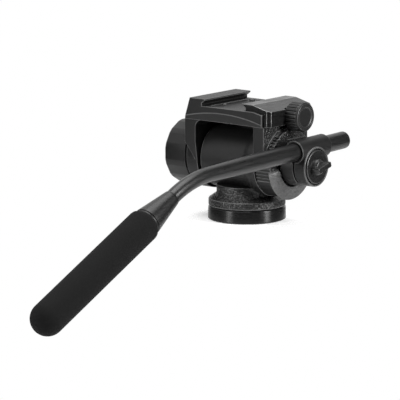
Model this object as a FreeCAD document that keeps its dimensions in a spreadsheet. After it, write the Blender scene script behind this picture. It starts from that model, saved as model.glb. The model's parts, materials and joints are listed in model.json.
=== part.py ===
import FreeCAD, Part
import math
import os
import re

import Sketcher
from FreeCAD import Placement, Rotation, Vector

# Two-way fluid head with a bent pan bar. Millimetres. +Z up, +Y forward (where the lens points),
# +X towards the pan-bar clamp, origin at the centre of the foot's underside.
# Pieces that belong to the tilt axis are drawn with that axis as their own X axis.

SIZES = {
    # fits
    "running_fit": 0.05, "seat_fit": 0.05, "loose_fit": 0.1, "air_gap": 0.5, "cut_margin": 1.0,
    # foot
    "base_radius": 30.0, "base_height": 10.0, "base_draft": 0.4, "base_edge": 0.6,
    "relief_inner": 15.0, "relief_outer": 25.0, "relief_depth": 0.8,
    "thread_radius": 3.97, "insert_radius": 6.0, "insert_top": 8.4, "screw_sink": 0.3,
    "foot_radius": 13.0, "foot_floor": 6.5, "foot_height": 3.3,
    "base_screw_circle": 9.7, "base_screw_radius": 1.6, "base_screw_head": 2.9, "base_screw_head_height": 1.8,
    "base_screw_count": 3,
    # pan axle
    "axle_radius": 9.0, "axle_top": 20.2, "axle_thread_radius": 6.0, "axle_end": 25.4,
    "nut_across": 20.0, "nut_height": 4.0, "nut_gap": 0.1, "thrust_radius": 12.4, "thrust_thickness": 0.8,
    "drag_inner": 16.0, "drag_outer": 24.0, "drag_thickness": 1.0,
    "bushing_wall": 2.0, "bushing_top": 19.4,
    # pan housing: flange, neck, drum
    "seam_gap": 0.3, "flange_inset": 0.5, "flange_height": 6.3, "flange_round": 1.2,
    "neck_inset": 5.4, "neck_foot_rise": 2.4, "neck_drop": 20.0, "pedestal_inset": 1.3,
    "saddle_radius": 32.0,
    "cavity_radius": 13.0, "tilt_height": 46.5, "barrel_radius": 24.4, "barrel_gap": 0.6, "barrel_edge": 1.6,
    "flare_start": 14.0, "flare_ridge": 21.0, "flare_radius": 26.5, "barrel_bore": 18.0,
    # pan lock
    "lock_height": 13.3, "lock_bearing": 120.0, "lock_screw_radius": 2.0, "lock_shoe_radius": 2.4,
    "lock_shoe_length": 5.0, "lock_shoe_gap": 0.3, "lock_thread_rise": 0.35,
    "lock_knob_gap": 0.5, "lock_knob_radius": 7.0, "lock_knob_length": 11.0, "lock_knob_edge": 1.5,
    "lock_knob_taper": 2.5, "lock_lobe_radius": 3.0, "lock_lobe_depth": 1.2, "lock_lobe_count": 6,
    # tilt shaft and drag pack
    "shaft_radius": 8.0, "bearing_width": 5.0, "disc_thickness": 3.4, "disc_pitch": 8.0, "steel_disc_count": 4,
    "disc_gap": 0.6, "spring_width": 1.6, "spring_lean": 2.2, "spring_gap": 0.2, "spring_inset": 2.4,
    "spigot_radius": 5.0, "spigot_length": 4.6, "spigot_relief": 0.3,
    "shaft_thread_radius": 5.0, "shaft_end_inset": 8.0, "shaft_tap": 16.0,
    # cradle
    "cradle_rear": 30.0, "cradle_front": 26.0, "arm_inner": 28.0, "arm_wall": 10.5, "arm_top": 30.0,
    "wall_foot_inset": 1.1, "wall_head_inset": 6.5, "seat_height": 41.5, "rail_rise": 5.5, "rail_tip": 17.0,
    "tip_drop": 1.2, "undercut": 3.2, "undercut_drop": 2.2, "platform_inset": 1.0,
    "lip_slope": 8.0, "lip_drop": 1.7, "lip_thickness": 2.3, "step_margin": 2.0, "step_drop": 2.0,
    "ridge_rise": 7.2, "ridge_centre": 1.0, "ridge_radius": 146.0, "bevel_depth": 2.0, "bevel_drop": 7.2,
    "arm_disc_radius": 26.0, "arm_slant": 14.0, "window_round": 6.0,
    "panel_foot": 11.9, "panel_tail": 4.0, "panel_reach": 10.0,
    "seat_recess": 0.6, "seat_recess_rear": 25.0, "seat_recess_front": 22.0, "seat_recess_edge": 15.5,
    # right arm
    "dial_rise": 4.0, "dial_rib_depth": 0.9, "dial_rib_spread": 4.8, "dial_rib_step": 6.0,
    "dial_land_radius": 28.0, "dial_land_rise": 0.5, "dial_flat_height": 22.3, "dial_flat_drop": 4.5,
    "dial_flat_rear": 4.0, "low_rib_count": 5, "high_rib_count": 9, "rosette_seat": 1.0, "rosette_radius": 15.4,
    "arm_screw_inset": 5.5, "arm_screw_y": 22.0, "arm_screw_radius": 2.0, "arm_screw_head": 3.5,
    "arm_screw_head_height": 3.0, "arm_screw_head_sink": 0.2, "arm_screw_depth": 12.0,
    # jaw
    "jaw_top_drop": 0.6, "jaw_flat_end": 27.0, "jaw_overhang": 4.5, "jaw_shoulder_rise": 0.8,
    "jaw_rear": 27.3, "jaw_chamfer": 2.5, "jaw_gap": 0.7, "slide_gap": 0.3,
    "guide_radius": 2.0, "guide_spacing": 28.4, "guide_drop": 8.0, "guide_depth": 16.5, "guide_room": 0.3,
    "jaw_skin": 1.0,
    # plate-lock knob
    "plate_knob_y": 3.0, "plate_knob_drop": 5.5, "plate_knob_radius": 11.2, "plate_knob_sink": 1.8,
    "plate_knob_room": 0.7, "plate_knob_length": 13.0, "plate_knob_edge": 1.2, "plate_knob_floor": 2.0,
    "plate_rib_count": 24, "plate_rib_spread": 6.0, "plate_rib_depth": 0.9, "plate_rib_land": 1.8,
    "plate_groove": 0.5,
    "plate_screw_radius": 2.5, "plate_screw_depth": 18.5,
    "plate_cap_radius": 8.6, "plate_cap_depth": 1.2, "plate_cap_dish": 0.6, "plate_cap_rim": 1.0,
    # tilt-lock knob
    "tilt_knob_gap": 0.5, "tilt_knob_radius": 24.8, "tilt_skirt_length": 2.4, "tilt_knob_reach": 23.2,
    "tilt_skirt_radius": 23.4, "tilt_knob_edge": 1.4,
    "tilt_flat_count": 12, "tilt_flat_depth": 0.35, "tilt_flat_half": 5.0, "tilt_cap_radius": 15.0,
    "tilt_cap_depth": 1.6, "tilt_cap_edge": 0.5, "tilt_cap_sink": 0.3, "tilt_insert_radius": 8.0,
    "tilt_nut_inset": 2.0,
    "tilt_washer_radius": 17.0, "tilt_washer_thickness": 1.2, "tilt_washer_room": 0.4,
    # rosettes and clamp
    "tooth_count": 20, "tooth_depth": 0.9, "tooth_half": 2.0, "tooth_root": 9.0, "rosette_rise": 1.3,
    "rosette_gap": 0.4, "clamp_radius": 16.0, "clamp_edge": 0.5, "clamp_taper": 2.0, "clamp_step_radius": 15.2,
    "bar_offset": 12.8, "bar_height": 12.3, "bar_radius": 6.6, "sleeve_wall": 1.0, "sleeve_inset": 0.4,
    "collar_radius": 8.75, "collar_rear": 14.8, "collar_front": 20.5, "web_half": 11.0, "web_left": 20.0,
    "web_right": 26.0, "web_top": 12.0,
    "slit_width": 1.0, "slit_drop": 12.0, "clamp_screw_radius": 3.0, "clamp_screw_depth": 14.0,
    # wing knob
    "cap_radius": 12.9, "cap_gap": 0.8, "cap_clearance": 0.6, "cap_thickness": 2.4, "clamp_lip": 1.8,
    "cap_edge": 0.4, "wing_length": 9.8, "wing_foot_half": 8.2, "wing_half": 7.8, "wing_thick": 5.2,
    "wing_tip_thick": 4.2, "wing_tip_round": 1.2, "wing_turn": 14.0, "hub_radius": 6.4, "hub_length": 5.8,
    "hub_edge": 1.8, "screw_engagement": 2.0,
    # pan bar
    "bar_droop": 1.51, "bar_front": 46.8, "bar_cap_length": 0.8, "bar_cap_gap": 0.05,
    "bend_place": 135.9, "bend_angle": 24.4, "bend_radius": 100.0, "straight_end": 62.0, "bar_bend_radius": 5.6,
    "socket_start": 24.4, "socket_overlap": 12.0, "socket_length": 30.5, "socket_foot": 6.0, "socket_head": 10.8,
    "socket_edge": 0.6, "ring_length": 1.4, "ring_inset": 0.6, "ring_gap": 0.05, "grip_gap": 0.1,
    "grip_ring_radius": 10.9, "grip_radius": 12.35, "grip_length": 130.6, "grip_shoulder": 3.0,
    # small details on the seat
    "stop_screw_x": -12.0, "stop_screw_y": -12.0, "stop_screw_radius": 1.8, "stop_screw_proud": 1.2,
    "pin_x": -8.5, "pin_y": 17.0, "pin_radius": 2.2, "pin_proud": 1.6, "pin_depth": 6.0, "pin_travel": 2.0,
    "pin_edge": 0.6,
}

# Places that follow from the sizes. Along X they build outwards from the arms, so that what stands
# on an arm moves with it; upwards they build from the foot or from the tilt axis.
PLACES = {
    "arm_outer": "arm_inner + arm_wall",
    "barrel_half": "arm_inner - barrel_gap",
    "platform_right": "arm_outer - platform_inset",
    "wall_foot": "arm_outer - wall_foot_inset",
    "wall_head": "arm_outer - wall_head_inset",
    "arm_screw_x": "arm_outer - arm_screw_inset",
    "guide_inner": "arm_outer - guide_depth",
    "guide_end": "jaw_side - jaw_skin",
    "plate_screw_inner": "arm_outer - plate_screw_depth",
    "jaw_side": "arm_outer + jaw_overhang",
    "plate_knob_start": "jaw_side - plate_knob_sink",
    "plate_knob_end": "plate_knob_start + plate_knob_length",
    "dial_face": "arm_outer + dial_rise",
    "rosette_face": "dial_face + rosette_rise",
    "shaft_shoulder": "rosette_face - tooth_depth - spigot_relief",
    "spigot_end": "rosette_face + spigot_length",
    "clamp_face": "rosette_face + rosette_gap",
    "bar_x": "clamp_face + bar_offset",
    "cap_inner": "bar_x + bar_radius + sleeve_wall + cap_clearance",
    "cap_outer": "cap_inner + cap_thickness",
    "clamp_end": "cap_inner + clamp_lip",
    "hub_end": "cap_inner + hub_length",
    "wing_end": "cap_inner + wing_length",
    "clamp_screw_end": "cap_outer + screw_engagement",
    "skirt_start": "arm_outer + tilt_knob_gap",
    "skirt_end": "skirt_start + tilt_skirt_length",
    "tilt_knob_end": "arm_outer + tilt_knob_reach",
    "tilt_knob_floor": "tilt_knob_end - tilt_cap_depth",
    "tilt_nut_end": "tilt_knob_floor - tilt_nut_inset",
    "washer_end": "arm_outer + loose_fit + tilt_washer_thickness",
    "rail_top": "seat_height + rail_rise",
    "rail_neck": "rail_top - tip_drop - undercut_drop",
    "rail_foot": "rail_tip + undercut",
    "step_start": "rail_tip + step_margin",
    "step_height": "seat_height - step_drop",
    "seat_floor": "seat_height - seat_recess",
    "arm_screw_top": "step_height - arm_screw_head_sink",
    "jaw_top": "rail_top - jaw_top_drop",
    "jaw_shoulder": "seat_height + jaw_shoulder_rise",
    "jaw_foot": "arm_top + slide_gap",
    "guide_height": "seat_height - guide_drop",
    "plate_knob_height": "seat_height - plate_knob_drop",
    "plate_knob_base": "plate_knob_end - plate_cap_depth",
    "plate_screw_end": "plate_knob_base - plate_knob_floor",
    "plate_land": "plate_knob_end - plate_rib_land",
    "foot_top": "foot_floor + foot_height",
    "flange_radius": "base_radius - flange_inset",
    "neck_radius": "base_radius - neck_inset",
    "flange_low": "base_height + seam_gap - tilt_height",
    "flange_top": "base_height + flange_height - tilt_height",
    "neck_foot": "flange_top + neck_foot_rise",
    "drag_seat": "base_height - drag_thickness + seam_gap",
    "shoe_start": "axle_radius + bushing_wall + lock_shoe_gap",
    "shoe_end": "shoe_start + lock_shoe_length",
    "lock_knob_start": "base_radius + lock_knob_gap",
    "lock_knob_end": "lock_knob_start + lock_knob_length",
    "lock_screw_end": "lock_knob_start + lock_knob_length / 2",
    "pack_start": "barrel_half - bearing_width - disc_gap",
    "spring_start": "disc_pitch * (steel_disc_count - 1) + disc_thickness - pack_start + spring_gap",
    "spring_radius": "barrel_bore - spring_inset",
    "bend_tangent": "bend_radius * tan(bend_angle / 2)",
    "bend_start": "bend_place - bend_tangent",
    "socket_end": "socket_start + socket_length",
    "grip_start": "socket_end + ring_length",
    "grip_end": "socket_end + grip_length - grip_radius",
}

doc = FreeCAD.newDocument("FluidHead")
sheet = doc.addObject("Spreadsheet::Sheet", "Sizes")
for row, (name, number) in enumerate(SIZES.items(), start=1):
    sheet.set(f"A{row}", name)
    sheet.set(f"B{row}", str(number))
    sheet.setAlias(f"B{row}", name)
doc.recompute()
SIZE_WORDS = re.compile(r"\b(" + "|".join(SIZES) + r")\b")
PLACE_WORDS = re.compile(r"\b(" + "|".join(PLACES) + r")\b")
TOUCH = 0.01    # how near two places count as the same when edges are picked
sub_parts = []


def bind(item, prop, formula):
    """Tie one property to a formula; a place is spelled out until only the sheet's own words are left."""
    text = str(formula)
    while PLACE_WORDS.search(text):
        text = PLACE_WORDS.sub(lambda found: f"({PLACES[found.group(1)]})", text)
    item.setExpression(prop, SIZE_WORDS.sub(r"Sizes.\1", text))


def size(name):
    return sheet.get(name)


def new_body(label, on_tilt_axis=False):
    body = doc.addObject("PartDesign::Body", label)
    body.AllowCompound = True
    if on_tilt_axis:
        bind(body, "Placement.Base.z", "tilt_height")
    sub_parts.append(body)
    return body


def sketch_on(body, role, shift="0", turn=0.0):
    """A sketch on one of the body's own origin planes; YZ and XY look along +X and +Z, XZ along -Y."""
    sketch = body.newObject("Sketcher::SketchObject", body.Name + "_sketch")
    plane = [item for item in body.Origin.OriginFeatures if item.Role == role][0]
    sketch.AttachmentSupport = (plane, "")
    sketch.MapMode = "FlatFace"
    sketch.AttachmentOffset = Placement(Vector(), Rotation(Vector(0, 1, 0), turn))
    if turn == 0:
        bind(sketch, "AttachmentOffset.Base.z", shift)
    return sketch


def outline(sketch, corners):
    """A closed polygon whose corners are pairs of formulas."""
    count = len(corners)
    first = sketch.GeometryCount
    start = [Vector(math.cos(math.tau * i / count), math.sin(math.tau * i / count), 0) for i in range(count)]
    for i in range(count):
        sketch.addGeometry(Part.LineSegment(start[i], start[(i + 1) % count]))
    for i in range(count):
        sketch.addConstraint(Sketcher.Constraint("Coincident", first + i, 2, first + (i + 1) % count, 1))
    for i, (across, up) in enumerate(corners):
        for kind, formula, guess in (("DistanceX", across, start[i].x), ("DistanceY", up, start[i].y)):
            number = sketch.addConstraint(Sketcher.Constraint(kind, -1, 1, first + i, 1, guess))
            bind(sketch, f"Constraints[{number}]", formula)


def block(sketch, left, low, right, high):
    outline(sketch, [(left, low), (right, low), (right, high), (left, high)])


def around(radius, angle):
    """The two coordinates of a point on a circle about the sketch's origin."""
    return f"({radius}) * cos({angle})", f"({radius}) * sin({angle})"


def circle(sketch, radius, across="0", up="0"):
    index = sketch.addGeometry(Part.Circle(Vector(1, 1, 0), Vector(0, 0, 1), 3.0))
    number = sketch.addConstraint(Sketcher.Constraint("Radius", index, 3.0))
    bind(sketch, f"Constraints[{number}]", radius)
    for kind, formula in (("DistanceX", across), ("DistanceY", up)):
        number = sketch.addConstraint(Sketcher.Constraint(kind, -1, 1, index, 3, 1.0))
        bind(sketch, f"Constraints[{number}]", formula)


def feature(body, kind, sketch, length=None, backward=False):
    """A pad or a pocket of a sketch; with no length a pocket goes right through both ways."""
    made = body.newObject("PartDesign::" + kind, body.Name + "_" + kind.lower())
    made.Profile = sketch
    if length is None:
        made.Type = "ThroughAll"
        made.Midplane = True
    else:
        bind(made, "Length", length)
    made.Reversed = backward
    body.Tip = made
    return made


def turned(body, corners, axis="V_Axis"):
    """A revolved profile: corners are (radius, height) about V_Axis or (length, radius) about H_Axis."""
    sketch = sketch_on(body, "XZ_Plane")
    outline(sketch, corners)
    made = body.newObject("PartDesign::Revolution", body.Name + "_turned")
    made.Profile = sketch
    made.ReferenceAxis = (sketch, [axis])
    body.Tip = made
    return made


def lofted(body, sketches):
    made = body.newObject("PartDesign::AdditiveLoft", body.Name + "_loft")
    made.Profile = sketches[0]
    made.Sections = sketches[1:]
    body.Tip = made
    return made


def ring(label, inner, outer, low, high, axis="V_Axis", on_tilt_axis=False, body=None):
    body = body or new_body(label, on_tilt_axis)
    if axis == "V_Axis":
        turned(body, [(inner, low), (outer, low), (outer, high), (inner, high)])
    else:
        turned(body, [(low, inner), (high, inner), (high, outer), (low, outer)], axis)


def polar(body, seed, sketch, count, angle="360"):
    """Copies of a feature turned about the normal through the sketch's origin."""
    made = body.newObject("PartDesign::PolarPattern", body.Name + "_polar")
    made.Originals = [seed]
    made.Axis = (sketch, ["N_Axis"])
    bind(made, "Angle", angle)
    bind(made, "Occurrences", count)
    body.Tip = made
    return made


def dress(body, kind, amount, chosen):
    """A fillet or a chamfer on the edges that the test picks; it gets an edge's box and the body's box."""
    doc.recompute()
    base = body.Tip
    whole = base.Shape.BoundBox
    names = [f"Edge{i}" for i, edge in enumerate(base.Shape.Edges, start=1) if chosen(edge.BoundBox, whole)]
    made = body.newObject("PartDesign::" + kind, body.Name + "_" + kind.lower())
    made.Base = (base, names)
    bind(made, "Radius" if kind == "Fillet" else "Size", amount)
    body.Tip = made
    return made


def hole(body, role, radius, across="0", up="0", shift="0", length=None, backward=False):
    """A round hole; with no length it goes right through both ways."""
    sketch = sketch_on(body, role, shift)
    circle(sketch, radius, across, up)
    return feature(body, "Pocket", sketch, length, backward)


def notch(sketch, radius, depth, spread, angle="0"):
    """A V whose tip lies a depth below the radius and whose mouth opens by the spread to each side."""
    outline(sketch, [around(f"{radius} - {depth}", angle), around(f"{radius} + {depth}", f"{angle} + {spread}"),
                     around(f"{radius} + {depth}", f"{angle} - {spread}")])


# Foot and pan axle
def make_foot():
    disc = new_body("base_disc")
    turned(disc, [
        ("insert_radius + seat_fit", "0"), ("relief_inner", "0"), ("relief_inner", "relief_depth"),
        ("relief_outer", "relief_depth"), ("relief_outer", "0"), ("base_radius - base_edge", "0"),
        ("base_radius", "base_edge"), ("base_radius - base_draft", "base_height - base_edge"),
        ("base_radius - base_draft - base_edge", "base_height"), ("drag_outer + seat_fit", "base_height"),
        ("drag_outer + seat_fit", "drag_seat"), ("foot_radius + seat_fit", "drag_seat"),
        ("foot_radius + seat_fit", "foot_floor"), ("insert_radius + seat_fit", "foot_floor")])
    screw_holes(disc, "base_screw_radius + loose_fit", "foot_floor")
    screw_holes(disc, "base_screw_head + loose_fit", "base_screw_head_height + screw_sink")
    ring("tripod_insert", "thread_radius", "insert_radius", "0", "insert_top")
    axle = new_body("pan_axle")
    turned(axle, [
        ("insert_radius + seat_fit", "foot_floor"), ("foot_radius", "foot_floor"), ("foot_radius", "foot_top"),
        ("axle_radius", "foot_top"), ("axle_radius", "axle_top"), ("axle_thread_radius", "axle_top"),
        ("axle_thread_radius", "axle_end"), ("0", "axle_end"), ("0", "insert_top + screw_sink"),
        ("insert_radius + seat_fit", "insert_top + screw_sink")])
    screw_holes(axle, "base_screw_radius + seat_fit", "foot_top")
    screws = new_body("base_screws")
    half_head = "base_screw_head_height / 2"
    for radius, low, length in (
            ("base_screw_head", "screw_sink", "base_screw_head_height"),
            ("base_screw_radius", f"screw_sink + {half_head}", f"foot_top - screw_sink * 2 - {half_head}")):
        sketch = sketch_on(screws, "XY_Plane", low)
        circle(sketch, radius, "base_screw_circle")
        polar(screws, feature(screws, "Pad", sketch, length), sketch, "base_screw_count")
    ring("pan_drag_washer", "drag_inner", "drag_outer", "drag_seat", "base_height + seam_gap")
    bore = "axle_radius + running_fit"
    ring("pan_bushing", bore, "axle_radius + bushing_wall", "foot_top + air_gap * 2", "bushing_top")
    ring("pan_thrust_washer", bore, "thrust_radius", "bushing_top", "bushing_top + thrust_thickness")
    nut = new_body("axle_nut")
    sketch = sketch_on(nut, "XY_Plane", "axle_top + nut_gap")
    outline(sketch, [around("nut_across / 2 / cos(30)", 60 * corner) for corner in range(6)])
    feature(nut, "Pad", sketch, "nut_height")
    hole(nut, "XY_Plane", "axle_thread_radius + seat_fit")


def screw_holes(body, radius, depth):
    sketch = sketch_on(body, "XY_Plane")
    circle(sketch, radius, "base_screw_circle")
    polar(body, feature(body, "Pocket", sketch, depth, backward=True), sketch, "base_screw_count")


# Pan housing: flange, neck and tilt drum in one casting
def make_housing():
    body = new_body("pan_housing", on_tilt_axis=True)
    turned(body, [
        ("0", "flange_low"), ("neck_radius", "flange_low"), ("neck_radius", "-neck_drop"), ("0", "-neck_drop")])
    hole(body, "YZ_Plane", "saddle_radius")
    turned(body, [
        ("0", "flange_low"), ("flange_radius - base_edge", "flange_low"),
        ("flange_radius", "flange_low + base_edge"), ("flange_radius", "flange_top - flange_round"),
        ("flange_radius - flange_round / 3", "flange_top - flange_round / 3"),
        ("flange_radius - flange_round", "flange_top"),
        ("neck_radius + flange_round", "neck_foot - flange_round / 2"), ("neck_radius", "neck_foot"),
        ("neck_radius - pedestal_inset", "neck_foot"), ("neck_radius - pedestal_inset", "-neck_drop"),
        ("0", "-neck_drop")])
    turned(body, [
        ("-barrel_half", "0"), ("-barrel_half", "barrel_radius - barrel_edge"),
        ("-barrel_half + barrel_edge", "barrel_radius"), ("flare_start", "barrel_radius"),
        ("flare_ridge", "flare_radius"), ("barrel_half", "flare_radius"), ("barrel_half", "0")], "H_Axis")
    hole(body, "YZ_Plane", "barrel_bore")
    hole(body, "XY_Plane", "cavity_radius", length="tilt_height - bushing_top")
    hole(body, "XY_Plane", "axle_radius + bushing_wall + seat_fit", length="tilt_height")
    sketch = sketch_on(body, "XZ_Plane", turn=size("lock_bearing") - 90)
    circle(sketch, "lock_shoe_radius + seat_fit", up="lock_height - tilt_height")
    feature(body, "Pocket", sketch, "flange_radius + cut_margin")
    for label, side in (("left_bearing", "-1"), ("right_bearing", "1")):
        inner, outer = f"{side} * (barrel_half - bearing_width)", f"{side} * barrel_half"
        ring(label, "shaft_radius + running_fit", "barrel_bore - seat_fit", inner, outer, "H_Axis", True)


def make_drag_pack():
    """Steel and fibre discs side by side on the shaft, pressed by two cone springs."""
    for label, shift, count in (("steel_discs", "0", "steel_disc_count"),
                                ("fibre_discs", "disc_pitch / 2", "steel_disc_count - 1")):
        body = new_body(label, on_tilt_axis=True)
        sketch = sketch_on(body, "YZ_Plane", f"{shift} - pack_start")
        circle(sketch, "barrel_bore - disc_gap")
        circle(sketch, "shaft_radius + running_fit")
        row = body.newObject("PartDesign::LinearPattern", label + "_row")
        row.Originals = [feature(body, "Pad", sketch, "disc_thickness")]
        row.Direction = (sketch, ["N_Axis"])
        row.Mode = "Spacing"
        bind(row, "Offset", "disc_pitch")
        bind(row, "Occurrences", count)
        body.Tip = row
    springs = new_body("preload_springs", on_tilt_axis=True)
    for near, lean in (("spring_start", "spring_lean"),
                       ("spring_start + spring_width + spring_lean * 2 + spring_gap", "-spring_lean")):
        turned(springs, [
            (near, "shaft_radius + running_fit"), (f"{near} + spring_width", "shaft_radius + running_fit"),
            (f"{near} + spring_width + ({lean})", "spring_radius"), (f"{near} + ({lean})", "spring_radius")],
            "H_Axis")


# Pan lock, at the far side of the flange
def radial_body(label):
    """A body whose Z points straight out of the flange where the pan lock is."""
    body = new_body(label)
    out = Rotation(Vector(0, 0, 1), size("lock_bearing")).multVec(Vector(1, 0, 0))
    body.Placement = Placement(Vector(), Rotation(Vector(0, 0, 1), out))
    bind(body, "Placement.Base.z", "lock_height")
    return body


def make_pan_lock():
    ring("pan_brake_shoe", "0", "lock_shoe_radius", "shoe_start", "shoe_end", body=radial_body("pan_brake_shoe"))
    screw = radial_body("pan_lock_screw")
    thread = "lock_screw_radius + lock_thread_rise"
    turned(screw, [
        ("0", "shoe_end + loose_fit"), (thread, "shoe_end + loose_fit"), (thread, "flange_radius"),
        ("lock_screw_radius", "flange_radius"), ("lock_screw_radius", "lock_screw_end"), ("0", "lock_screw_end")])
    knob = radial_body("pan_lock_knob")
    turned(knob, [
        ("lock_screw_radius + seat_fit", "lock_knob_start"),
        ("lock_knob_radius - lock_knob_taper", "lock_knob_start"),
        ("lock_knob_radius", "lock_knob_start + lock_knob_taper"),
        ("lock_knob_radius", "lock_knob_end - lock_knob_edge"),
        ("lock_knob_radius - lock_knob_edge", "lock_knob_end"), ("0", "lock_knob_end"),
        ("0", "lock_screw_end + seat_fit"), ("lock_screw_radius + seat_fit", "lock_screw_end + seat_fit")])
    sketch = sketch_on(knob, "XY_Plane", "lock_knob_start")
    circle(sketch, "lock_lobe_radius", "lock_knob_radius + lock_lobe_radius - lock_lobe_depth")
    polar(knob, feature(knob, "Pocket", sketch, "lock_knob_length", backward=True), sketch, "lock_lobe_count")


# Tilt shaft
def make_shaft():
    shaft = new_body("tilt_shaft", on_tilt_axis=True)
    tapped = "clamp_screw_radius + running_fit"
    turned(shaft, [
        ("-tilt_knob_end + shaft_end_inset", "0"), ("-tilt_knob_end + shaft_end_inset", "shaft_thread_radius"),
        ("-arm_outer", "shaft_thread_radius"), ("-arm_outer", "shaft_radius"), ("shaft_shoulder", "shaft_radius"),
        ("shaft_shoulder", "spigot_radius"), ("spigot_end", "spigot_radius"), ("spigot_end", tapped),
        ("rosette_face - shaft_tap", tapped), ("rosette_face - shaft_tap", "0")], "H_Axis")


# Cradle: platform, fixed rail and left arm in one casting
def arm_outline(sketch):
    rear = "-cradle_rear + bevel_depth"
    outline(sketch, [
        (rear, "arm_top"), (rear, "arm_disc_radius / 2"), around("arm_disc_radius", "180 + arm_slant"),
        ("0", "-arm_disc_radius / 2"), around("arm_disc_radius", "-arm_slant / 7"),
        ("cradle_front", "arm_disc_radius / 3"), ("cradle_front", "arm_top")])


def window_corner(box, whole):
    off_corner = abs(box.Center.x + size("arm_inner")) + abs(box.Center.z - size("arm_top"))
    return off_corner < TOUCH and box.YLength > size("arm_disc_radius")


def make_cradle():
    body = new_body("cradle", on_tilt_axis=True)
    sketch = sketch_on(body, "XZ_Plane", "-cradle_front")
    outline(sketch, [
        ("-wall_foot", "arm_top"), ("-wall_head", "rail_top"), ("-rail_tip", "rail_top"),
        ("-rail_tip", "rail_top - tip_drop"), ("-rail_foot", "rail_neck"), ("-rail_foot", "seat_height"),
        ("platform_right - lip_slope", "seat_height"), ("platform_right", "seat_height - lip_drop"),
        ("platform_right", "arm_top")])
    feature(body, "Pad", sketch, "cradle_rear + cradle_front")
    sketch = sketch_on(body, "YZ_Plane", "-arm_outer")
    arm_outline(sketch)
    feature(body, "Pad", sketch, "arm_wall")
    sketch = sketch_on(body, "XZ_Plane", "cradle_rear")
    outline(sketch, [
        ("-arm_outer - cut_margin", "panel_foot"), ("-arm_outer", "panel_foot"), ("-arm_inner", "-panel_tail"),
        ("-arm_inner + cut_margin", "-panel_tail"), ("-arm_inner + cut_margin", "-arm_disc_radius"),
        ("-arm_outer - cut_margin", "-arm_disc_radius")])
    feature(body, "Pocket", sketch, "panel_reach")
    sketch = sketch_on(body, "YZ_Plane", "-arm_outer")
    circle(sketch, "arm_disc_radius")
    feature(body, "Pad", sketch, "arm_wall")
    dress(body, "Fillet", "window_round", window_corner)
    sketch = sketch_on(body, "XZ_Plane", "cradle_rear")
    circle(sketch, "ridge_radius", "-ridge_centre", "arm_top + ridge_rise - ridge_radius")
    under = feature(body, "Pocket", sketch, "sqrt(bevel_depth * bevel_depth + bevel_drop * bevel_drop)")
    under.UseCustomVector = True
    under.AlongSketchNormal = False
    bind(under, "Direction.x", "0")
    bind(under, "Direction.y", "bevel_depth")
    bind(under, "Direction.z", "-bevel_drop")
    side = "platform_right + cut_margin"
    sketch = sketch_on(body, "XY_Plane", "step_height")
    block(sketch, "step_start", "-cradle_rear + lip_thickness", side, "cradle_front + cut_margin")
    feature(body, "Pocket", sketch, "rail_top - step_height", backward=True)
    sketch = sketch_on(body, "XY_Plane", "seat_height")
    block(sketch, "-seat_recess_edge", "-seat_recess_rear", "seat_recess_edge", "seat_recess_front")
    feature(body, "Pocket", sketch, "seat_recess")
    hole(body, "YZ_Plane", "shaft_radius + seat_fit", shift="-arm_outer - cut_margin",
         length="arm_wall + cut_margin * 2", backward=True)
    hole(body, "YZ_Plane", "plate_screw_radius + running_fit", "plate_knob_y", "plate_knob_height",
         side, f"{side} - plate_screw_inner + cut_margin")
    for sign in ("-", "+"):
        hole(body, "YZ_Plane", "guide_radius + seat_fit", f"plate_knob_y {sign} guide_spacing / 2", "guide_height",
             side, f"{side} - guide_inner")
        for radius, floor in (("arm_screw_radius", "arm_top - cut_margin"),
                              ("arm_screw_head", "arm_screw_top - arm_screw_head_height")):
            hole(body, "XY_Plane", f"{radius} + loose_fit", "arm_screw_x", f"{sign} arm_screw_y", "rail_top",
                 f"rail_top - ({floor})")
    for radius, prefix, depth in (("stop_screw_radius + seat_fit", "stop_screw", "pin_depth"),
                                  ("pin_radius + running_fit", "pin", "pin_depth + pin_travel")):
        hole(body, "XY_Plane", radius, prefix + "_x", prefix + "_y", "seat_floor", depth)


def make_right_arm():
    body = new_body("right_arm", on_tilt_axis=True)
    sketch = sketch_on(body, "YZ_Plane", "arm_inner")
    arm_outline(sketch)
    feature(body, "Pad", sketch, "arm_wall")
    sketch = sketch_on(body, "YZ_Plane", "arm_outer")
    block(sketch, "-dial_land_radius * 2", "-dial_land_radius * 2", "dial_land_radius * 2", "dial_land_radius * 2")
    circle(sketch, "dial_land_radius")
    feature(body, "Pocket", sketch, "dial_land_rise")
    sketch = sketch_on(body, "YZ_Plane", "arm_inner")
    circle(sketch, "arm_disc_radius")
    feature(body, "Pad", sketch, "dial_face - arm_inner")
    rim_ribs(body, "180", "dial_face - arm_inner", "low_rib_count")
    rim_ribs(body, "180 - dial_rib_step * high_rib_count", "dial_rise", "high_rib_count")
    hole(body, "YZ_Plane", "shaft_radius + seat_fit")
    hole(body, "YZ_Plane", "rosette_radius + loose_fit", shift="dial_face", length="rosette_seat")
    sketch = sketch_on(body, "XZ_Plane", "dial_flat_rear")
    outline(sketch, [
        ("arm_outer", "dial_flat_height"), ("dial_face + cut_margin", "dial_flat_height - dial_flat_drop"),
        ("dial_face + cut_margin", "arm_top"), ("arm_outer", "arm_top")])
    feature(body, "Pocket", sketch, "dial_flat_rear + arm_disc_radius")
    for sign in ("-", "+"):
        hole(body, "XY_Plane", "arm_screw_radius + seat_fit", "arm_screw_x", f"{sign} arm_screw_y", "arm_top",
             "arm_screw_depth")
    screws = new_body("arm_screws", on_tilt_axis=True)
    for sign in ("-", "+"):
        for radius, low, length in (
                ("arm_screw_head", "arm_screw_top - arm_screw_head_height", "arm_screw_head_height"),
                ("arm_screw_radius", "arm_top - arm_screw_depth + cut_margin",
                 "arm_screw_top - arm_top + arm_screw_depth - cut_margin * 2")):
            sketch = sketch_on(screws, "XY_Plane", low)
            circle(sketch, radius, "arm_screw_x", f"{sign} arm_screw_y")
            feature(screws, "Pad", sketch, length)


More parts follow.
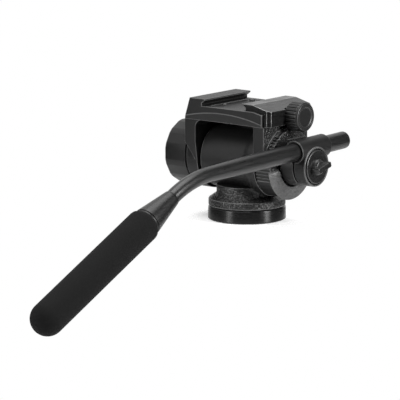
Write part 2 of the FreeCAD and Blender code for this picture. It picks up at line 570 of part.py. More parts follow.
def rim_ribs(body, start, length, count):
    """Short V grooves along the dial's rim, a few degrees apart."""
    sketch = sketch_on(body, "YZ_Plane", "dial_face")
    notch(sketch, "arm_disc_radius", "dial_rib_depth", "dial_rib_spread", start)
    seed = feature(body, "Pocket", sketch, length)
    polar(body, seed, sketch, count, f"dial_rib_step * ({count} - 1)")


# Jaw and its knob
def outer_upright(box, whole):
    return box.XMin > whole.XMax - TOUCH and box.ZLength > size("jaw_chamfer")


def make_jaw():
    jaw = new_body("jaw", on_tilt_axis=True)
    sketch = sketch_on(jaw, "XZ_Plane", "-cradle_front")
    inner, under = "platform_right + jaw_gap", "step_height + slide_gap"
    outline(sketch, [
        ("rail_tip", "jaw_top"), ("jaw_flat_end", "jaw_top"), ("jaw_side", "jaw_shoulder"),
        ("jaw_side", "jaw_foot"), (inner, "jaw_foot"), (inner, under), ("rail_foot", under),
        ("rail_foot", "rail_neck"), ("rail_tip", "rail_top - tip_drop")])
    feature(jaw, "Pad", sketch, "jaw_rear + cradle_front")
    dress(jaw, "Chamfer", "jaw_chamfer", outer_upright)
    hole(jaw, "YZ_Plane", "plate_knob_radius + plate_knob_room", "plate_knob_y", "plate_knob_height", "jaw_side",
         "plate_knob_sink + plate_knob_room")
    hole(jaw, "YZ_Plane", "plate_screw_radius + running_fit", "plate_knob_y", "plate_knob_height")
    pins = new_body("guide_pins", on_tilt_axis=True)
    for sign in ("-", "+"):
        place = f"plate_knob_y {sign} guide_spacing / 2", "guide_height"
        hole(jaw, "YZ_Plane", "guide_radius + running_fit", *place, "guide_end + guide_room",
             "jaw_side - platform_right")
        sketch = sketch_on(pins, "YZ_Plane", "guide_inner + air_gap")
        circle(sketch, "guide_radius", *place)
        feature(pins, "Pad", sketch, "guide_end - guide_inner - air_gap")
    knob = knob_body("plate_knob")
    turned(knob, [
        ("plate_knob_start", "plate_screw_radius + seat_fit"),
        ("plate_knob_start", "plate_knob_radius - plate_knob_edge"),
        ("plate_knob_start + plate_knob_edge", "plate_knob_radius"),
        ("plate_land - plate_groove", "plate_knob_radius"), ("plate_land", "plate_knob_radius - plate_groove"),
        ("plate_land + plate_groove", "plate_knob_radius"), ("plate_knob_end - plate_cap_rim", "plate_knob_radius"),
        ("plate_knob_end", "plate_knob_radius - plate_cap_rim"), ("plate_knob_end", "plate_cap_radius + loose_fit"),
        ("plate_knob_base", "plate_cap_radius + loose_fit"),
        ("plate_knob_base", "0"), ("plate_screw_end", "0"), ("plate_screw_end", "plate_screw_radius + seat_fit")],
           "H_Axis")
    sketch = sketch_on(knob, "YZ_Plane", "plate_knob_start")
    notch(sketch, "plate_knob_radius", "plate_rib_depth", "plate_rib_spread")
    seed = feature(knob, "Pocket", sketch, "plate_land - plate_knob_start", backward=True)
    polar(knob, seed, sketch, "plate_rib_count")
    cap = knob_body("plate_knob_cap")
    face = "plate_knob_end - loose_fit"
    turned(cap, [
        ("plate_knob_base + seat_fit", "0"), ("plate_knob_base + seat_fit", "plate_cap_radius"),
        (face, "plate_cap_radius"), (face, "plate_cap_radius - plate_cap_rim"),
        (f"{face} - plate_cap_dish", "plate_cap_radius - plate_cap_rim * 2"), (f"{face} - plate_cap_dish", "0")],
           "H_Axis")
    ring("plate_screw", "0", "plate_screw_radius", "plate_screw_inner", "plate_screw_end - loose_fit", "H_Axis",
         body=knob_body("plate_screw"))


def knob_body(label):
    """A body whose X axis is the plate-lock knob's own axis."""
    body = new_body(label)
    bind(body, "Placement.Base.y", "plate_knob_y")
    bind(body, "Placement.Base.z", "tilt_height + plate_knob_height")
    return body


def make_seat_details():
    """The plate stop screw and the spring-loaded safety pin that stand up out of the seat."""
    for label, prefix, radius, low, proud in (
            ("stop_screw", "stop_screw", "stop_screw_radius", "pin_depth - screw_sink", "stop_screw_proud"),
            ("safety_pin", "pin", "pin_radius", "pin_depth", "pin_proud")):
        body = new_body(label, on_tilt_axis=True)
        bind(body, "Placement.Base.x", prefix + "_x")
        bind(body, "Placement.Base.y", prefix + "_y")
        foot, top = f"seat_floor - ({low})", f"seat_floor + {proud}"
        turned(body, [("0", foot), (radius, foot), (radius, f"{top} - pin_edge"), (f"{radius} - pin_edge", top),
                      ("0", top)])


# Tilt-lock knob
def make_tilt_knob():
    knob = new_body("tilt_knob", on_tilt_axis=True)
    bore = "tilt_insert_radius + seat_fit"
    turned(knob, [
        ("-skirt_start", bore), ("-skirt_start", "tilt_skirt_radius"), ("-skirt_end", "tilt_knob_radius"),
        ("-tilt_knob_end + tilt_knob_edge", "tilt_knob_radius"),
        ("-tilt_knob_end", "tilt_knob_radius - tilt_knob_edge"),
        ("-tilt_knob_end", "tilt_cap_radius + loose_fit"), ("-tilt_knob_floor", "tilt_cap_radius + loose_fit"),
        ("-tilt_knob_floor", bore)], "H_Axis")
    sketch = sketch_on(knob, "YZ_Plane", "-tilt_knob_end")
    block(sketch, "tilt_knob_radius - tilt_flat_depth", "-tilt_flat_half", "tilt_knob_radius + cut_margin",
          "tilt_flat_half")
    seed = feature(knob, "Pocket", sketch, "tilt_knob_end - skirt_end", backward=True)
    polar(knob, seed, sketch, "tilt_flat_count")
    hole(knob, "YZ_Plane", "tilt_washer_radius + air_gap", shift="-washer_end - tilt_washer_room",
         length="washer_end + tilt_washer_room - skirt_start", backward=True)
    ring("tilt_knob_nut", "shaft_thread_radius + running_fit", "tilt_insert_radius", "-tilt_nut_end",
         "-washer_end - tilt_washer_room", "H_Axis", True)
    cap = new_body("tilt_knob_cap", on_tilt_axis=True)
    face = "-tilt_knob_end + tilt_cap_sink"
    turned(cap, [
        ("-tilt_knob_floor - seat_fit", "0"), (face, "0"), (face, "tilt_cap_radius - tilt_cap_edge * 2"),
        (f"{face} + tilt_cap_edge", "tilt_cap_radius"), ("-tilt_knob_floor - seat_fit", "tilt_cap_radius")],
           "H_Axis")
    ring("tilt_washer", "shaft_thread_radius + loose_fit", "tilt_washer_radius", "-washer_end",
         "-arm_outer - loose_fit", "H_Axis", True)


# Rosette and pan-bar clamp: two rings of radial teeth, face to face
def cut_teeth(body, face, direction):
    """V grooves across a face, all round the axis; the face looks along direction times X."""
    sketch = sketch_on(body, "XY_Plane", "tooth_root")
    outline(sketch, [(face, "-tooth_half"), (face, "tooth_half"), (f"{face} - {direction} * tooth_depth", "0")])
    seed = feature(body, "Pocket", sketch, "clamp_radius - tooth_root + cut_margin", backward=True)
    return polar(body, seed, sketch_on(body, "YZ_Plane"), "tooth_count")


def make_rosette():
    fixed = new_body("arm_rosette", on_tilt_axis=True)
    foot = "dial_face - rosette_seat + seat_fit"
    turned(fixed, [
        (foot, "shaft_radius + seat_fit"), (foot, "rosette_radius"), ("rosette_face", "rosette_radius"),
        ("rosette_face", "tooth_root"), ("rosette_face - tooth_depth", "tooth_root - air_gap"),
        ("rosette_face - tooth_depth", "shaft_radius + seat_fit")], "H_Axis")
    cut_teeth(fixed, "rosette_face", "1")


def droop_body(label):
    """Clamp and bar pieces share the tilt axis and lean by the bar's droop."""
    body = new_body(label, on_tilt_axis=True)
    body.Placement = Placement(Vector(0, 0, size("tilt_height")), Rotation(Vector(1, 0, 0), size("bar_droop")))
    bind(body, "Placement.Base.z", "tilt_height")
    bind(body, "Placement.Rotation.Angle", "bar_droop")
    return body


def make_clamp():
    body = droop_body("pan_bar_clamp")
    turned(body, [
        ("clamp_face + tooth_depth", "0"), ("clamp_face + tooth_depth", "tooth_root - air_gap"),
        ("clamp_face", "tooth_root"), ("clamp_face", "clamp_radius - clamp_edge"),
        ("clamp_face + clamp_edge", "clamp_radius"), ("bar_x - clamp_taper", "clamp_radius"),
        ("bar_x", "clamp_step_radius"), ("clamp_end - clamp_edge", "clamp_step_radius"),
        ("clamp_end", "clamp_step_radius - clamp_edge"), ("clamp_end", "0")], "H_Axis")
    sketch = sketch_on(body, "XZ_Plane", "-(collar_front - collar_rear) / 2 - web_half")
    outline(sketch, [
        ("bar_x - collar_radius * cos(web_left)", "bar_height - collar_radius * sin(web_left)"),
        ("bar_x - collar_radius / 2", "0"), ("bar_x + collar_radius * cos(web_right)", "0"),
        ("bar_x + collar_radius * cos(web_top)", "bar_height - collar_radius * sin(web_top)")])
    feature(body, "Pad", sketch, "web_half * 2")
    sketch = sketch_on(body, "XZ_Plane", "-collar_front")
    circle(sketch, "collar_radius", "bar_x", "bar_height")
    feature(body, "Pad", sketch, "collar_front + collar_rear")
    cut_teeth(body, "clamp_face", "-1")
    hole(body, "XZ_Plane", "bar_radius + sleeve_wall + running_fit", "bar_x", "bar_height")
    hole(body, "YZ_Plane", "clamp_screw_radius + loose_fit")
    hole(body, "YZ_Plane", "spigot_radius + running_fit", shift="spigot_end + loose_fit * 2",
         length="spigot_length")
    hole(body, "YZ_Plane", "cap_radius + cap_gap", shift="clamp_end", length="clamp_lip + loose_fit")
    sketch = sketch_on(body, "XZ_Plane", "clamp_radius + cut_margin")
    block(sketch, "bar_x - slit_width", "-slit_drop", "bar_x", "bar_height - bar_radius")
    feature(body, "Pocket", sketch, "(clamp_radius + cut_margin) * 2")


def blade_tip(box, whole):
    return box.XLength > size("wing_tip_thick") and box.XMax > whole.XMax - TOUCH


def make_wing():
    wing = droop_body("wing_knob")
    turned(wing, [
        ("cap_inner", "clamp_screw_radius + seat_fit"), ("cap_inner", "cap_radius"),
        ("cap_outer - cap_edge", "cap_radius"), ("cap_outer", "cap_radius - cap_edge"), ("cap_outer", "hub_radius"),
        ("hub_end - hub_edge", "hub_radius - cap_edge"),
        ("hub_end", "hub_radius - hub_edge"), ("hub_end", "0"), ("clamp_screw_end", "0"),
        ("clamp_screw_end", "clamp_screw_radius + seat_fit")], "H_Axis")
    sketches = []
    for place, half, thick in (("cap_outer - cap_edge", "wing_foot_half", "wing_thick"),
                               ("wing_end", "wing_half", "wing_tip_thick")):
        sketch = sketch_on(wing, "YZ_Plane", place)
        outline(sketch, [
            (f"{side} * {half} * cos(wing_turn) - {face} * {thick} / 2 * sin(wing_turn)",
             f"{side} * {half} * sin(wing_turn) + {face} * {thick} / 2 * cos(wing_turn)")
            for side, face in ((-1, -1), (1, -1), (1, 1), (-1, 1))])
        sketches.append(sketch)
    lofted(wing, sketches)
    hole(wing, "YZ_Plane", "clamp_screw_radius + seat_fit", shift="clamp_screw_end",
         length="clamp_screw_end - cap_inner")
    dress(wing, "Fillet", "wing_tip_round", blade_tip)
    ring("clamp_screw", "0", "clamp_screw_radius", "rosette_face - clamp_screw_depth",
         "clamp_screw_end - loose_fit", "H_Axis", body=droop_body("clamp_screw"))


# Pan bar
def along_bar(body, start, length, *radii):
    """Pads circles about the bar's straight axis, from a place behind the tilt axis backwards."""
    sketch = sketch_on(body, "XZ_Plane", start)
    for radius in radii:
        circle(sketch, radius, "bar_x", "bar_height")
    return feature(body, "Pad", sketch, length)


def make_bar():
    """Sleeve, end cap and the tube: straight, then a taper, then one bend on a large radius."""
    along_bar(droop_body("bar_sleeve"), "sleeve_inset - collar_front",
              "collar_front + collar_rear - sleeve_inset * 2", "bar_radius + sleeve_wall",
              "bar_radius + running_fit")
    along_bar(droop_body("bar_end_cap"), "-bar_front", "bar_cap_length - bar_cap_gap", "bar_radius - loose_fit")
    tube = droop_body("pan_bar_tube")
    along_bar(tube, "-bar_front + bar_cap_length", "bar_front - bar_cap_length + straight_end", "bar_radius")
    near, far = sketch_on(tube, "XZ_Plane", "straight_end"), sketch_on(tube, "XZ_Plane", "bend_start")
    circle(near, "bar_radius", "bar_x", "bar_height")
    circle(far, "bar_bend_radius", "bar_x", "bar_height")
    lofted(tube, [near, far])
    path = sketch_on(tube, "YZ_Plane", "bar_x")
    arc_path(path)
    bend = tube.newObject("PartDesign::AdditivePipe", "bar_bend")
    bend.Profile = far
    bend.Spine = (path, ["Edge1"])
    tube.Tip = bend
    joined = tube.newObject("PartDesign::Boolean", "bar_with_leg")
    joined.Type = "Fuse"
    leg_end = "socket_start + socket_overlap"
    joined.addObjects([leg_body("bar_leg", [
        ("0", "bend_tangent"), ("bar_bend_radius", "bend_tangent"), ("bar_bend_radius", leg_end), ("0", leg_end)],
        inside=True)])
    tube.Tip = joined


def arc_path(sketch):
    """The bend's centre line: an arc that starts level and turns down by the bend angle."""
    radius, angle = size("bend_radius"), math.radians(size("bend_angle"))
    start_y = radius * math.tan(angle / 2) - size("bend_place")
    centre = Vector(start_y, size("bar_height") - radius, 0)
    arc = Part.ArcOfCircle(Part.Circle(centre, Vector(0, 0, 1), radius), math.pi / 2, math.pi / 2 + angle)
    index = sketch.addGeometry(arc)
    for kind, point, guess, formula in (
            ("DistanceX", 3, start_y, "-bend_start"), ("DistanceY", 3, centre.y, "bar_height - bend_radius"),
            ("DistanceX", 1, start_y, "-bend_start"),
            ("DistanceX", 2, start_y - radius * math.sin(angle), "-bend_start - bend_radius * sin(bend_angle)")):
        number = sketch.addConstraint(Sketcher.Constraint(kind, -1, 1, index, point, guess))
        bind(sketch, f"Constraints[{number}]", formula)
    number = sketch.addConstraint(Sketcher.Constraint("Radius", index, radius))
    bind(sketch, f"Constraints[{number}]", "bend_radius")


def leg_body(label, corners, inside=False):
    """A turned piece on the drooping leg; its Z is the distance past the bend's corner."""
    body = doc.addObject("PartDesign::Body", label)
    body.Placement = Placement(Vector(), Rotation(Vector(1, 0, 0), 90))
    place = ("bar_x", "-bend_place", "bar_height") if inside else (
        "bar_x", "-bend_place * cos(bar_droop) - bar_height * sin(bar_droop)",
        "tilt_height - bend_place * sin(bar_droop) + bar_height * cos(bar_droop)")
    for letter, formula in zip("xyz", place):
        bind(body, "Placement.Base." + letter, formula)
    bind(body, "Placement.Rotation.Angle", "90 + bend_angle" if inside else "90 + bend_angle + bar_droop")
    turned(body, corners)
    return body


def make_grip():
    bore = "bar_bend_radius + seat_fit"
    ring_radius = "grip_ring_radius - ring_inset"
    for label, corners in (
            ("bar_socket", [
                (bore, "socket_start"), ("socket_foot", "socket_start"), ("socket_head", "socket_end - cut_margin"),
                ("socket_head - socket_edge", "socket_end"), (bore, "socket_end")]),
            ("grip_ring", [
                ("0", "socket_end + ring_gap"), (ring_radius, "socket_end + ring_gap"), (ring_radius, "grip_start"),
                ("0", "grip_start")]),
            ("foam_grip", [
                ("0", "grip_start + grip_gap"), ("grip_ring_radius", "grip_start + grip_gap"),
                ("grip_radius", "grip_start + grip_shoulder"), ("grip_radius", "grip_end"), ("0", "grip_end")])):
        body = leg_body(label, corners)
        sub_parts.append(body)
    tip = body.newObject("PartDesign::AdditiveSphere", "grip_tip")
    bind(tip, "Radius", "grip_radius")
    bind(tip, "Placement.Base.z", "grip_end")
    body.Tip = tip


make_foot()
make_housing()
make_drag_pack()
make_pan_lock()
make_shaft()
make_cradle()
make_right_arm()
make_jaw()
make_seat_details()
make_tilt_knob()
make_rosette()
make_clamp()
make_wing()
make_bar()
make_grip()
doc.recompute()

for item in doc.Objects:
    if "Invalid" in item.State or "Error" in item.State:
        raise RuntimeError(f"{item.Name} did not build: {item.State}")
os.makedirs("parts", exist_ok=True)
for part in sub_parts:
    if part.Shape.isNull() or not part.Shape.isValid():
        raise RuntimeError(f"{part.Label} has no sound shape")
    part.Shape.exportStep(f"parts/{part.Label}.step")
    print(part.Label, len(part.Shape.Solids), round(part.Shape.Volume), part.Shape.BoundBox)
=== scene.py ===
import json
import math

import bmesh
import bpy
from mathutils import Matrix, Vector


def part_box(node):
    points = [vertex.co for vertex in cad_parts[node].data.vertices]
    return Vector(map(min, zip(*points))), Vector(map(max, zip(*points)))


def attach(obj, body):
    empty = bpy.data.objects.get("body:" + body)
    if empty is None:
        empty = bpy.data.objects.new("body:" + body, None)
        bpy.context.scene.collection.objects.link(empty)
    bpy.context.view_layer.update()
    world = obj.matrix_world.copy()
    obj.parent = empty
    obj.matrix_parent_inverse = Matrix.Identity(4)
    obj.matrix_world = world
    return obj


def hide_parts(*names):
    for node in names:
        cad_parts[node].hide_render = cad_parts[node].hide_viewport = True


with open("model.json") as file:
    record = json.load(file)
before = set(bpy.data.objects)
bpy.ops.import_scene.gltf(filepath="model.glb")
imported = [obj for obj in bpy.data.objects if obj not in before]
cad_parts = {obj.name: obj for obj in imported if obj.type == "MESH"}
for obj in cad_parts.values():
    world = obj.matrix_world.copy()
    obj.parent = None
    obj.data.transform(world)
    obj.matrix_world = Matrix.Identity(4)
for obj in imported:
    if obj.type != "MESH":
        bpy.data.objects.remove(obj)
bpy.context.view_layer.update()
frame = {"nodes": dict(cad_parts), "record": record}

mm = 0.001
scene = bpy.context.scene
nodeBody = {node: body for body, nodes in frame["record"]["behaviour"]["bodies"].items() for node in nodes}
nodeSlot = {part["node"]: part["material_slot"] for part in frame["record"]["subparts"]}
print("frame loaded:", len(frame["nodes"]), "nodes")


# sRGB hex to linear RGBA
def linear(hexColour):
    channels = [int(hexColour[i:i + 2], 16) / 255 for i in (1, 3, 5)]
    return [c / 12.92 if c <= 0.04045 else ((c + 0.055) / 1.055) ** 2.4 for c in channels] + [1.0]


# settings name a node's own properties or its input sockets; links feed its inputs
def addNode(tree, kind, settings=None, links=None):
    node = tree.nodes.new(kind)
    for name, value in (settings or {}).items():
        if hasattr(node, str(name)):
            setattr(node, name, value)
        else:
            node.inputs[name].default_value = value
    for name, socket in (links or {}).items():
        tree.links.new(socket, node.inputs[name])
    return node


# count + 1 evenly spaced values
def steps(start, end, count):
    return [start + (end - start) * i / count for i in range(count + 1)]


# A fresh material, its node tree and the object coordinates that its patterns hang on.
def newMaterial(name):
    material = bpy.data.materials.new(name)
    material.use_nodes = True
    tree = material.node_tree
    tree.nodes.clear()
    return material, tree, addNode(tree, "ShaderNodeTexCoord").outputs["Object"]


def finishMaterial(tree, shader):
    addNode(tree, "ShaderNodeOutputMaterial", links={"Surface": shader.outputs[0]})


noiseSpan = {"From Min": 0.3, "From Max": 0.7}  # where most of a noise texture's values lie

paintSettings = {
    "dark": "#0e0e0e", "light": "#171717",  # black powder paint over grey castings
    "roughness": 0.44, "smoother": 0.1, "rougher": 0.12,
    "grit": 0.9,                            # mm; real powder grit is nearer 0.2, too fine to show
    "gritHeight": 0.045,                    # mm
    "clouds": 16.0,                         # mm, slow changes in the paint's tone
    "ior": 1.5,
    "specular": 0.3,                        # matt binder, a little below the usual half
}


# Die-cast aluminium under black powder paint: a fine pebbled skin that breaks the highlights up.
def paintedCasting(name, settings):
    material, tree, place = newMaterial(name)
    pebbles = addNode(tree, "ShaderNodeTexNoise",
                      {"Scale": 1 / (settings["grit"] * mm), "Detail": 2.0, "Roughness": 0.6},
                      {"Vector": place})
    clouds = addNode(tree, "ShaderNodeTexNoise",
                     {"Scale": 1 / (settings["clouds"] * mm), "Detail": 4.0}, {"Vector": place})
    colour = addNode(tree, "ShaderNodeMix", {"data_type": "RGBA"}, {0: clouds.outputs["Fac"]})
    colour.inputs[6].default_value = linear(settings["dark"])
    colour.inputs[7].default_value = linear(settings["light"])
    gloss = addNode(tree, "ShaderNodeMapRange",
                    {**noiseSpan, "To Min": settings["roughness"] - settings["smoother"],
                     "To Max": settings["roughness"] + settings["rougher"]},
                    {"Value": pebbles.outputs["Fac"]})
    bump = addNode(tree, "ShaderNodeBump",
                   {"Distance": settings["gritHeight"] * mm, "Strength": 1.0},
                   {"Height": pebbles.outputs["Fac"]})
    finishMaterial(tree, addNode(tree, "ShaderNodeBsdfPrincipled",
                                 {"IOR": settings["ior"], "Specular IOR Level": settings["specular"]},
                                 {"Base Color": colour.outputs[2], "Roughness": gloss.outputs[0],
                                  "Normal": bump.outputs[0]}))
    return material


anodisedSettings = {
    "colour": "#2a2a2a",
    "metallic": 0.8,
    "roughness": 0.3, "smoother": 0.05, "rougher": 0.08,
    "marks": 0.5,                           # mm between tool marks; real ones are nearer 0.1
    "markDepth": 0.002,                     # mm
    "stretch": (0.05, 0.05, 1.0),           # marks run round the turned part
    "anisotropic": 0.0, "quarterTurn": 0.25,
}


# Machined aluminium, black anodised: satin, part metal, with faint tool marks along the cut.
def anodisedAlloy(name, settings):
    material, tree, place = newMaterial(name)
    stretch = addNode(tree, "ShaderNodeMapping", {"Scale": settings["stretch"]}, {"Vector": place})
    marks = addNode(tree, "ShaderNodeTexNoise",
                    {"Scale": 1 / (settings["marks"] * mm), "Detail": 2.0}, {"Vector": stretch.outputs[0]})
    gloss = addNode(tree, "ShaderNodeMapRange",
                    {**noiseSpan, "To Min": settings["roughness"] - settings["smoother"],
                     "To Max": settings["roughness"] + settings["rougher"]}, {"Value": marks.outputs["Fac"]})
    bump = addNode(tree, "ShaderNodeBump",
                   {"Distance": settings["markDepth"] * mm, "Strength": 0.6},
                   {"Height": marks.outputs["Fac"]})
    shader = addNode(tree, "ShaderNodeBsdfPrincipled",
                     {"Base Color": linear(settings["colour"]), "Metallic": settings["metallic"],
                      "Anisotropic": settings["anisotropic"],
                      "Anisotropic Rotation": settings["quarterTurn"]},
                     {"Roughness": gloss.outputs[0], "Normal": bump.outputs[0]})
    if settings["anisotropic"]:             # a turned part's fine rings draw each highlight out
        rings = addNode(tree, "ShaderNodeTangent", {"direction_type": "RADIAL", "axis": "Z"})
        tree.links.new(rings.outputs[0], shader.inputs["Tangent"])
    finishMaterial(tree, shader)
    return material


nylonSettings = {
    "dark": "#101010", "light": "#181818",
    "roughness": 0.4, "smoother": 0.06, "rougher": 0.08,
    "skin": 0.5,                            # mm; the spark-eroded grain is nearer 0.1
    "skinHeight": 0.014,                    # mm
    "flow": 9.0,                            # mm, slow changes in tone where the melt ran
    "ior": 1.53,
    "specular": 0.28,                       # glass fibres at the surface scatter part of the shine
}


# Glass-filled nylon from a spark-eroded mould: even fine satin, a soft sheen on its corners.
def mouldedNylon(name, settings):
    material, tree, place = newMaterial(name)
    skin = addNode(tree, "ShaderNodeTexNoise",
                   {"Scale": 1 / (settings["skin"] * mm), "Detail": 2.0}, {"Vector": place})
    flow = addNode(tree, "ShaderNodeTexNoise", {"Scale": 1 / (settings["flow"] * mm), "Detail": 3.0},
                   {"Vector": place})
    colour = addNode(tree, "ShaderNodeMix", {"data_type": "RGBA"}, {0: flow.outputs["Fac"]})
    colour.inputs[6].default_value = linear(settings["dark"])
    colour.inputs[7].default_value = linear(settings["light"])
    gloss = addNode(tree, "ShaderNodeMapRange",
                    {**noiseSpan, "To Min": settings["roughness"] - settings["smoother"],
                     "To Max": settings["roughness"] + settings["rougher"]}, {"Value": skin.outputs["Fac"]})
    bump = addNode(tree, "ShaderNodeBump",
                   {"Distance": settings["skinHeight"] * mm, "Strength": 0.7},
                   {"Height": skin.outputs["Fac"]})
    finishMaterial(tree, addNode(tree, "ShaderNodeBsdfPrincipled",
                                 {"IOR": settings["ior"], "Specular IOR Level": settings["specular"]},
                                 {"Base Color": colour.outputs[2], "Roughness": gloss.outputs[0],
                                  "Normal": bump.outputs[0]}))
    return material


foamSettings = {
    "dark": "#0a0a0a", "light": "#101010",
    "roughness": 0.85,
    "cell": 0.8,                            # mm; the real cells are about 0.3
    "cellDepth": 0.06,                      # mm
    "rubbed": 12.0,                         # mm across a rubbed patch
    "ior": 1.5,
    "specular": 0.16,                       # open pores swallow most of the shine
}


# Moulded closed-cell foam: dull, no highlight, a skin of pin-prick cells, slightly rubbed in places.
def foamRubber(name, settings):
    material, tree, place = newMaterial(name)
    cells = addNode(tree, "ShaderNodeTexVoronoi", {"Scale": 1 / (settings["cell"] * mm)}, {"Vector": place})
    rubbed = addNode(tree, "ShaderNodeTexNoise",
                     {"Scale": 1 / (settings["rubbed"] * mm), "Detail": 4.0}, {"Vector": place})
    colour = addNode(tree, "ShaderNodeMix", {"data_type": "RGBA"}, {0: rubbed.outputs["Fac"]})
    colour.inputs[6].default_value = linear(settings["dark"])
    colour.inputs[7].default_value = linear(settings["light"])
    bump = addNode(tree, "ShaderNodeBump",
                   {"Distance": settings["cellDepth"] * mm, "Strength": 0.6},
                   {"Height": cells.outputs["Distance"]})
    finishMaterial(tree, addNode(tree, "ShaderNodeBsdfPrincipled",
                                 {"Roughness": settings["roughness"], "IOR": settings["ior"],
                                  "Specular IOR Level": settings["specular"]},
                                 {"Base Color": colour.outputs[2], "Normal": bump.outputs[0]}))
    return material


materials = {
    "cast_alloy": paintedCasting("powderPaintedAluminium", paintSettings),
    "machined_alloy": anodisedAlloy("blackAnodisedAluminium", anodisedSettings),
    "turned_foot": anodisedAlloy("blackAnodisedTurnedAluminium", {**anodisedSettings, "anisotropic": 0.75}),
    "bar_alloy": anodisedAlloy("blackAnodisedTube", {
        **anodisedSettings, "colour": "#383838", "roughness": 0.32, "stretch": (1.0, 0.03, 1.0)}),
    "socket_alloy": anodisedAlloy("gunmetalAnodisedAluminium", {
        **anodisedSettings, "colour": "#333333", "roughness": 0.36, "stretch": (1.0, 0.1, 1.0)}),
    "steel": anodisedAlloy("turnedSteel", {
        **anodisedSettings, "colour": "#a8a8a8", "roughness": 0.25, "metallic": 1.0}),
    "black_steel": anodisedAlloy("oilBlackenedSteel", {
        **anodisedSettings, "colour": "#4c4c4c", "roughness": 0.42, "metallic": 1.0}),
    "bronze": anodisedAlloy("sinteredBronze", {
        **anodisedSettings, "colour": "#9a7a45", "roughness": 0.4, "metallic": 1.0}),
    "nylon": mouldedNylon("blackNylon", nylonSettings),
    "moulded_plastic": mouldedNylon("blackGlassFilledNylon", nylonSettings),
    # near-black nylon with little shine: painted shade in the plate knob's grooves and in the gap at the bar
    # sleeve; it is also the arm rosette's colour
    "shade_black_nylon": mouldedNylon("shadeBlackNylon", {
        **nylonSettings, "dark": "#050505", "light": "#080808", "specular": 0.1}),
    "wing": mouldedNylon("blackNylonPolishedByUse", {
        **nylonSettings, "light": "#1a1a1a", "roughness": 0.3, "specular": 0.45}),
    "foam": foamRubber("closedCellFoam", foamSettings),
}
wornHighlightAndCoarseFinishes = {                            # worn corners also lightened as painted highlights, the coarser skins of painted pieces, and the dial's painted light
    # paint thinned at the corners; its light grey is also a painted edge highlight
    "paint": paintedCasting("powderPaintWornAndHighlightedAtCorners", {
        **paintSettings, "dark": "#3c3c3c", "light": "#5c5c5c", "roughness": 0.34, "gritHeight": 0.02,
        "specular": 0.5}),
    "coarsePaint": paintedCasting("coarsePowderPaint", {
        **paintSettings, "dark": "#090909", "light": "#2c2c2c", "roughness": 0.28, "grit": 2.0,
        "gritHeight": 1.0, "specular": 0.36}),
    # coarse blasted grit under paint lightened to grey: painted light on the dial's face
    "dialLitPaint": paintedCasting("blastedDialWithPaintedLight", {
        **paintSettings, "dark": "#161616", "light": "#545454", "roughness": 0.4, "grit": 1.8,
        "gritHeight": 0.8, "specular": 0.6}),
    # nylon rubbed at the corners; its lighter grey is also a painted edge highlight
    "nylon": mouldedNylon("nylonRubbedAndHighlightedAtCorners", {
        **nylonSettings, "dark": "#282828", "light": "#3a3a3a", "roughness": 0.32, "specular": 0.5}),
    # anodising worn at the corners; its pale grey is also a painted edge highlight
    "anodising": anodisedAlloy("anodisingWornAndHighlightedAtCorners", {
        **anodisedSettings, "colour": "#7c7c7c", "roughness": 0.28}),
}
# each slot's lighter corner finish: wear, and painted highlight along the rounded edges
rimWearAndHighlight = {"cast_alloy": wornHighlightAndCoarseFinishes["paint"], "moulded_plastic": wornHighlightAndCoarseFinishes["nylon"],
             "machined_alloy": wornHighlightAndCoarseFinishes["anodising"]}
ownFinish = {                               # pieces that don't take their slot's finish
    "base_disc": "turned_foot", "stop_screw": "black_steel", "safety_pin": "black_steel", "wing_knob": "wing",
    # the bar sleeve's near-black nylon is painted shade in the gap between the bar and the collar
    "arm_rosette": "shade_black_nylon", "bar_sleeve": "shade_black_nylon",
}
for node, slot in nodeSlot.items():
    data = frame["nodes"][node].data
    data.materials.clear()
    data.materials.append(materials[ownFinish.get(node, slot)])
print("materials ready:", len(materials) + len(wornHighlightAndCoarseFinishes))


# A drawn shape as a mesh; edges sharper than crease degrees stay unsmoothed.
def drawnMesh(name, shape, finishes=(), crease=None):
    mesh = bpy.data.meshes.new(name)
    for finish in finishes:
        mesh.materials.append(finish)
    shape.to_mesh(mesh)
    shape.free()
    if crease:
        mesh.set_sharp_from_angle(angle=math.radians(crease))
    return mesh


# A finished mesh takes a CAD node's place and rides where the node rides.
def addPiece(name, mesh, node):
    piece = bpy.data.objects.new(name, mesh)
    scene.collection.objects.link(piece)
    if not mesh.materials:
        mesh.materials.append(materials[nodeSlot[node]])
    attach(piece, nodeBody[node])
    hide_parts(node)
    return piece


cornerSettings = {
    "weld": 0.002,                          # mm; closer points are joined
    "flat": 0.4,                            # degrees; facets nearer to flat than this become one
    "corner": 30.0,                         # degrees; sharper outer edges are rounded
    "slight": 12.0, "slightLength": 2.5,    # degrees and mm; so are flatter ones when they are long
    "segments": 2,
    "crease": 50.0,                         # degrees; sharper edges than this stay unsmoothed
}


